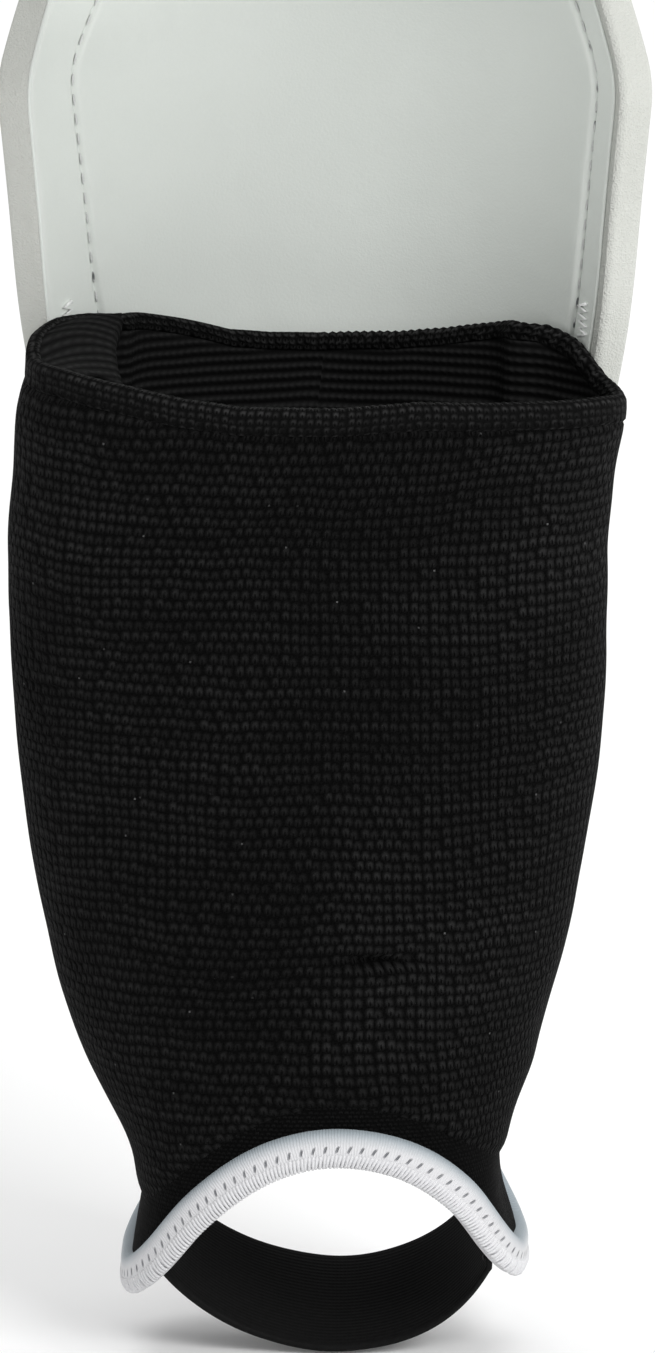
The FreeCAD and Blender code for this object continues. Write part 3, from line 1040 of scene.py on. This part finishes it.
def even_turns(count):
    """Angles spaced evenly by length round the sleeve's middle, and the length at each."""
    fine = np.linspace(0, 2 * math.pi, 1441)
    ring = np.array([tuple(sleeve_point(angle, sleeve_middle)) for angle in fine])
    lengths = np.concatenate([[0], np.cumsum(np.linalg.norm(np.diff(ring, axis=0), axis=1))])
    even = np.linspace(0, lengths[-1], count + 1)
    return np.interp(even, lengths, fine), even


turn_angles, turn_lengths = even_turns(sleeve_turns)
girth = float(turn_lengths[-1])


def wrapped_wall(name, material, low_of, high_of, inset, rows, extra=None):
    """A sheet round the leg between two edges given by angle, with its rows closer at the crease."""
    crease_low, crease_high = crease_height - crease_reach, crease_height + crease_reach
    points = np.zeros((rows, sleeve_turns, 3))
    across = np.tile(turn_lengths, (rows, 1))
    along = np.zeros((rows, sleeve_turns + 1))
    for column, angle in enumerate(turn_angles[:-1]):
        low, high = low_of(angle), high_of(angle)
        for row in range(rows):
            share = row / (rows - 1)
            up = low + (high - low) * share
            if low <= crease_low and high >= crease_high:
                up = float(np.interp(share, (0, 0.2, 0.45, 1), (low, crease_low, crease_high, high)))
            take_in = inset + (extra(share) if extra else 0.0)
            points[row, column] = sleeve_point(angle, up, take_in)
            along[row, column] = up
    along[:, -1] = along[:, 0]
    return grid_piece(name, points, material, across, along, closed=True)


def knit_hem(angle):
    return on_arch(angle, arch_radius + edging_height + cuff_height).z + 0.0006


def tuck_at(share):
    """How far the outer knit is drawn in under the edging and the rim, by its share of the height."""
    return 0.0014 * float(hump(0, 0.012, share)) + 0.0007 * float(smooth_step(0.991, 1.0, share))


def make_sleeve():
    """The two layers of knit, from the cuff to the rim."""
    outer = wrapped_wall("sleeve_outer", knit, knit_hem, lambda a: rim_height(a) - rim_hem_height + 0.0006,
                         0.0, 140, tuck_at)
    inner = wrapped_wall("sleeve_inner", ribs, knit_hem, lambda a: rim_height(a) - inner_hem_height + 0.0006,
                         sleeve_thickness, 110)
    inner.data.flip_normals()
    for piece, nodes in ((outer, ("sleeve_outer_upper", "sleeve_outer_lower")),
                         (inner, ("sleeve_inner_upper", "sleeve_inner_lower"))):
        area = area_of(piece)
        thickened(piece, knit_thickness)
        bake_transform(piece)
        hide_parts(*nodes)
        area / girth


def make_rim():
    """The turned hem: up the outside, over the rim and a little way down the inside."""
    radius = sleeve_thickness / 2
    profile = [(0.0003, -rim_hem_height), (-0.0001, -rim_hem_height + 0.0005),
               (-0.0001, -rim_hem_height * 0.75), (-0.0001, -rim_hem_height * 0.5)]
    for step in range(15):
        turn = math.pi * step / 14
        profile.append((radius - (radius + 0.0001) * math.cos(turn), -radius + radius * math.sin(turn)))
    profile += [(2 * radius + 0.0007, -inner_hem_height * 0.6),
                (2 * radius + 0.0005, -inner_hem_height * 0.88),
                (2 * radius - 0.0004, -inner_hem_height)]
    points = np.zeros((len(profile), sleeve_turns, 3))
    along = np.zeros((len(profile), sleeve_turns + 1))
    for column, angle in enumerate(turn_angles[:-1]):
        top = rim_height(angle)
        scallop = 0.00018 * math.cos(2 * math.pi * turn_lengths[column] / (wale_pitch * 0.85))
        places = [sleeve_point(angle, top + drop + scallop * float(hump(0, 0.0014, drop)), inset)
                  for inset, drop in profile]
        points[:, column] = places
        along[1:, column] = np.cumsum([(after - here).length for here, after in zip(places, places[1:])])
    along[:, -1] = along[:, 0]
    across = np.tile(turn_lengths, (len(profile), 1))
    rim = grid_piece("sleeve_rim", points, hem, across, along, closed=True)
    area = area_of(rim)
    thickened(rim, 0.0008)
    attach(rim, "guard")
    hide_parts("sleeve_rim_hem")
    area / girth


def make_corner_fold(rows=26, columns=22):
    """Loose knit that folds across the left corner of the opening."""
    points = np.zeros((rows, columns, 3))
    out, down = np.meshgrid(np.arange(columns) / (columns - 1), np.arange(rows) / (rows - 1))
    corner = math.radians(294)
    start = sleeve_point(corner, rim_height(corner) - 0.0008, 0.0015)
    end = Vector((-0.0400, -0.0040, sleeve_high - 0.0020))
    for row in range(rows):
        fall = down[row, 0]
        angle = math.radians(292 - 36 * fall)
        wall = sleeve_point(angle, rim_height(angle) - 0.0012, 0.0022)
        edge = start.lerp(end, fall) + Vector((-0.0016, 0, 0.0008)) * math.sin(math.pi * fall)
        for column in range(columns):
            reach = min(out[row, column] / 0.88, 1.0)
            tuck = max(0.0, out[row, column] - 0.80) / 0.20
            place = wall.lerp(edge, reach)
            swell = 0.0016 * math.sin(math.pi * reach) * math.sin(math.pi * (0.15 + 0.7 * fall))
            place.z += swell - 0.0042 * tuck ** 2
            place.x -= 0.0010 * tuck ** 2
            points[row, column] = place
    fold = grid_piece("corner_fold", points, ribs, out * 0.014, down * 0.022 + out * 0.004)
    area = area_of(fold)
    thickened(fold, 0.0009, 0.0)
    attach(fold, "guard")
    area / 0.014


make_sleeve()
make_rim()
make_corner_fold()


# ---------------------------------------------------------------- foot opening

def ring_frames(radius, inset, turns=360):
    """Places, outward directions and directions up the wall along an arch's closed line."""
    raw = [on_arch(2 * math.pi * step / turns, radius, inset) for step in range(turns)]
    places = np.array([tuple(place) for place in raw])
    for _ in range(14):
        places = evened(places, 0)
    lengths = np.concatenate([[0], np.cumsum(np.linalg.norm(np.roll(places, -1, 0) - places, axis=1))])
    closed = np.vstack([places, places[:1]])
    even = np.linspace(0, lengths[-1], turns + 1)[:-1]
    places = np.array([[np.interp(at, lengths, closed[:, axis]) for axis in range(3)] for at in even])
    centres = [Vector(place) for place in places]
    outs = []
    ups = []
    for index, centre in enumerate(centres):
        along = (centres[(index + 1) % turns] - centres[index - 1]).normalized()
        out = Vector((centre.x / 1.5, centre.y, 0)).normalized()
        out = (out - along * out.dot(along)).normalized()
        up = out.cross(along).normalized()
        outs.append(out)
        ups.append(up if up.z >= 0 else -up)
    return centres, outs, ups, lengths[-1]


def make_edging():
    """The rolled edging. Gives the place, direction and facing of each overlock stitch round it."""
    centres, outs, ups, length = ring_frames(arch_radius + edging_height / 2, 0.0015)
    section = rounded_section(edging_thickness, edging_height, edging_corner, 5)
    edging = swept_band("edging", centres, outs, ups, section, edging_yarn, True)
    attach(edging, "ankle_sleeve")
    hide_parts("cuff_edging")
    count = int(length / edging_pitch)
    places, alongs, faces = [], [], []
    for number in range(count):
        at = number / count * len(centres)
        index = int(at)
        following = (index + 1) % len(centres)
        places.append(centres[index].lerp(centres[following], at - index))
        alongs.append((centres[following] - centres[index]).normalized())
        faces.append(outs[index])
    return places, alongs, faces


def make_overlock(stations):
    """Three strands of yarn side by side below each needle slot, wound over the lower edge."""
    places, alongs, faces = stations
    half = edging_height / 2
    out = edging_thickness / 2
    merged = bmesh.new()
    for step in np.array([-1, 0, 1]) * edging_pitch / 3:
        path = []
        for share in np.linspace(0, 1, 9):
            turn = share * math.pi * 0.62
            drop = 0.0011 + (half - 0.0010) * min(1.0, share * 1.25)
            depth = out - 0.00012 - (out - 0.0006) * (1 - math.cos(max(0.0, turn - 0.55)))
            path.append(Vector((step + 0.0006 * share, drop, depth)))
        strand = thread_mesh("strand", path, 0.00036, edging_thread)
        merged.from_mesh(strand.data)
        bpy.data.objects.remove(strand)
    mesh = bpy.data.meshes.new("overlock_loop")
    merged.to_mesh(mesh)
    merged.free()
    mesh.materials.append(edging_thread)
    loop = in_scene("overlock_loop", mesh)
    piece = loops_at("overlock_stitches", places, alongs, faces, loop, edging_thread)
    bpy.data.objects.remove(loop)
    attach(piece, "ankle_sleeve")


def make_cuff():
    """Smooth fabric between the knit's hem and the edging."""
    outer_arch = arch_radius + edging_height + cuff_height + 0.004
    inner_arch = arch_radius + edging_height - 0.0030
    # The cuff's material is darkened as painted shade under the knit's hem.
    cuff = wrapped_wall("heel_cuff_cloth", shaded_stretch, lambda a: on_arch(a, inner_arch, 0.0012).z,
                        lambda a: on_arch(a, outer_arch, 0.0012).z + 0.001, 0.0012, 14)
    area = area_of(cuff)
    thickened(cuff, 0.0008)
    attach(cuff, "ankle_sleeve")
    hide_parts("heel_cuff")
    area / girth


make_cuff()
make_overlock(make_edging())


def stirrup_path(radius, reach, steps=64):
    """The strap's arc about the swing's axis, with a short straight run up at each end."""
    turns = [-reach + 2 * reach * step / steps for step in range(steps + 1)]
    arc = [Vector((radius * math.sin(turn), 0, radius - stirrup_drop - radius * math.cos(turn)))
           for turn in turns]
    left, right = (Vector((end.x, 0, 0)) for end in (arc[0], arc[-1]))
    top = Vector((0, 0, stirrup_end))
    centres = [left + top, left + top * 0.5] + arc + [right + top * 0.5, right + top]
    outs = [Vector((math.sin(turn), 0, -math.cos(turn))) for turn in turns]
    outs = [Vector((-1, 0, 0))] * 2 + outs + [Vector((1, 0, 0))] * 2
    return centres, outs, [Vector((0, 1, 0))] * len(outs)


def make_stirrup():
    """The strap under the foot, sewn to the edging on both sides."""
    placed = Matrix.Translation(joint_place("stirrup_swing")) @ Matrix.Rotation(stirrup_tilt, 4, "X")
    radius = (stirrup_half_span ** 2 + stirrup_drop ** 2) / (2 * stirrup_drop)
    reach = math.asin(stirrup_half_span / radius)
    section = divided(rounded_section(webbing_thickness, stirrup_width, webbing_corner, 3), 10)
    strap = swept_band("stirrup", *stirrup_path(radius, reach), section, stirrup_cloth, False)
    strap.data.transform(placed)
    for vertex in strap.data.vertices:
        share = max(0.0, 1 - (vertex.co.x / stirrup_half_span) ** 2)
        vertex.co.x += 0.0030 * share
        vertex.co.y -= 0.0060 * share
        vertex.co.z += (rippled(vertex.co, 0.016, 4) * 0.0004 - 0.0004) * share
    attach(strap, "stirrup")
    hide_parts("stirrup_strap")
    for side, name in sides:
        rows = [[placed @ Vector((side * (stirrup_half_span - 0.0010), y, level))
                 for y in np.linspace(-0.0115, 0.0115, 24)] for level in (0.0014, 0.0030, 0.0046)]
        tack = stitched("stirrup_tack_stitches_" + name, rows, black_thread, 0.0022, 0.0018, 0.0003)
        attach(tack, "stirrup")
        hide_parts("stirrup_tack_" + name)


make_stirrup()


# ---------------------------------------------------------------- calf strap

strap_low, strap_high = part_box("calf_strap")
strap_middle = (strap_low.z + strap_high.z) / 2
strap_width = strap_high.z - strap_low.z


def band_piece(name, spans, width, material, thickness=webbing_thickness, corner=webbing_corner):
    """A band of strap through spans of (start angle, end angle, radius, centre shift), in degrees."""
    centres, outs = [], []
    for start, end, radius, shift in spans:
        count = max(4, int(abs(end - start) / 1.5))
        for step in range(count + 1):
            angle = math.radians(start + (end - start) * step / count)
            outs.append(Vector((math.sin(angle), math.cos(angle), 0)))
            centres.append(Vector((shift, panel_axis_y, strap_middle)) + outs[-1] * radius)
    section = divided(rounded_section(thickness, width, corner, 2), 12)
    return swept_band(name, centres, outs, [Vector((0, 0, 1))] * len(outs), section, material, False)


def make_calf_strap():
    """The elastic strap behind the calf, its loop stub, its pull tab and its stitching."""
    inner = shell_radius + strap_thickness / 2
    outer = inner + strap_shift
    margin = math.degrees(seam_angle(strap_middle) + (seam_inset + 0.0012) / bend_radius)
    spans = [(-margin, strap_hinge_angle, inner, 0.0),
             (strap_hinge_angle - 1, strap_end_angle + 1.2, outer, strap_shift)]
    strap = band_piece("calf_band", spans, strap_width, webbing)
    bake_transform(strap)
    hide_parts("strap_root", "calf_strap")
    length = math.radians(-strap_end_angle - margin) * outer
    strap_width * length

    stub = band_piece("loop_stub", [(margin, stub_end_angle, inner, 0.0)], strap_width, loop_pile)
    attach(stub, "guard")
    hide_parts("strap_stub")
    length = math.radians(stub_end_angle - margin) * inner
    strap_width * length

    tab = band_piece("pull_tab", [(tab_root_angle, tab_end_angle, outer, strap_shift)], strap_width, webbing)
    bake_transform(tab)
    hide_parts("strap_tab")
    length = math.radians(tab_root_angle - tab_end_angle) * outer
    strap_width * length

    hook = band_piece("hook_tape", [(140.2, 105.8, outer - strap_thickness / 2 - 0.0004, strap_shift)],
                      strap_width - 0.004, hook_tape, 0.0008, 0.0002)
    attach(hook, "tab")
    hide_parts("hook_patch")

    edge = math.degrees(edge_angle(lining_surface, strap_middle, lining_radius))
    heights = np.linspace(strap_low.z + 0.003, strap_high.z - 0.003, 30)
    for side, name in sides:
        turns = [math.radians(margin + (edge - margin) * share) * side for share in (0.18, 0.5, 0.82)]
        rows = [[bend_point(turn, inner + strap_thickness / 2 + 0.0002, up) for up in heights]
                for turn in turns]
        box = stitched("strap_box_stitches_" + name, rows, black_thread, 0.0026, 0.0021, 0.00035)
        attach(box, "guard")
        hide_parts("strap_stitching_" + name)


make_calf_strap()


# ---------------------------------------------------------------- small details

def make_tacks():
    """Zigzag bar tacks where the rim is sewn to the wings."""
    for side, name in sides:
        low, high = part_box("sleeve_tack_" + name)
        middle = (low + high) / 2
        angle = math.atan2(middle.x, middle.y - panel_axis_y)
        path = []
        for number in range(tack_turns + 1):
            up = low.z + (high.z - low.z) * number / tack_turns
            turn = angle + (tack_reach if number % 2 else -tack_reach) / lining_radius
            path.append(bend_point(turn, lining_radius - 0.0003, up))
        tack = thread_mesh("zigzag_tack_" + name, path, 0.00040, tack_thread)
        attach(tack, "guard")
        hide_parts("sleeve_tack_" + name)


make_tacks()


# ---------------------------------------------------------------- studio

def make_studio():
    """A wide pale floor just under the stirrup."""
    level = cad_box[0][2] - 0.0006
    corners = [(x * floor_reach, y * floor_reach, level) for x, y in ((-1, -1), (1, -1), (1, 1), (-1, 1))]
    mesh = bpy.data.meshes.new("floor")
    mesh.from_pydata(corners, [], [[0, 1, 2, 3]])
    mesh.materials.append(studio_floor())
    in_scene("floor", mesh)


def area_light(name, place, target, size, power):
    """A rectangular lamp at a place, turned to a target."""
    light = bpy.data.lights.new(name, "AREA")
    light.shape = "RECTANGLE"
    light.size, light.size_y = size
    light.energy = power
    lamp = in_scene(name, light)
    lamp.location = place
    lamp.rotation_euler = (Vector(target) - Vector(place)).to_track_quat("-Z", "Y").to_euler()


def make_light():
    """White surroundings, a key light, a weak fill, and a wash on the floor behind."""
    world = bpy.data.worlds.new("studio")
    world.use_nodes = True
    background = world.node_tree.nodes["Background"]
    background.inputs[0].default_value = (1, 1, 1, 1)
    background.inputs[1].default_value = sky_strength
    bpy.context.scene.world = world
    middle = (0, 0, 0.15)
    area_light("key", (0.80, -1.0, 1.0), middle, (0.7, 0.7), 15.0)
    area_light("fill", (-0.9, -1.1, 0.5), middle, (1.0, 1.0), 0.8)
    area_light("wash", (0, 1.0, 2.2), (0, 1.2, 0), (2.5, 1.5), 26.0)


def make_camera():
    """A long lens that looks a little down at the back of the guard."""
    camera = bpy.data.cameras.new("camera")
    camera.sensor_fit = "VERTICAL"
    camera.sensor_height = 36.0
    camera.lens = camera.sensor_height * camera_distance / view_height
    viewer = in_scene("camera", camera)
    back = Vector((0, -math.cos(camera_elevation), math.sin(camera_elevation)))
    viewer.location = camera_aim + back * camera_distance
    viewer.rotation_euler = (math.pi / 2 - camera_elevation, 0, 0)
    bpy.context.scene.camera = viewer


make_studio()
make_light()
make_camera()
bpy.context.scene.view_settings.view_transform = "Standard"
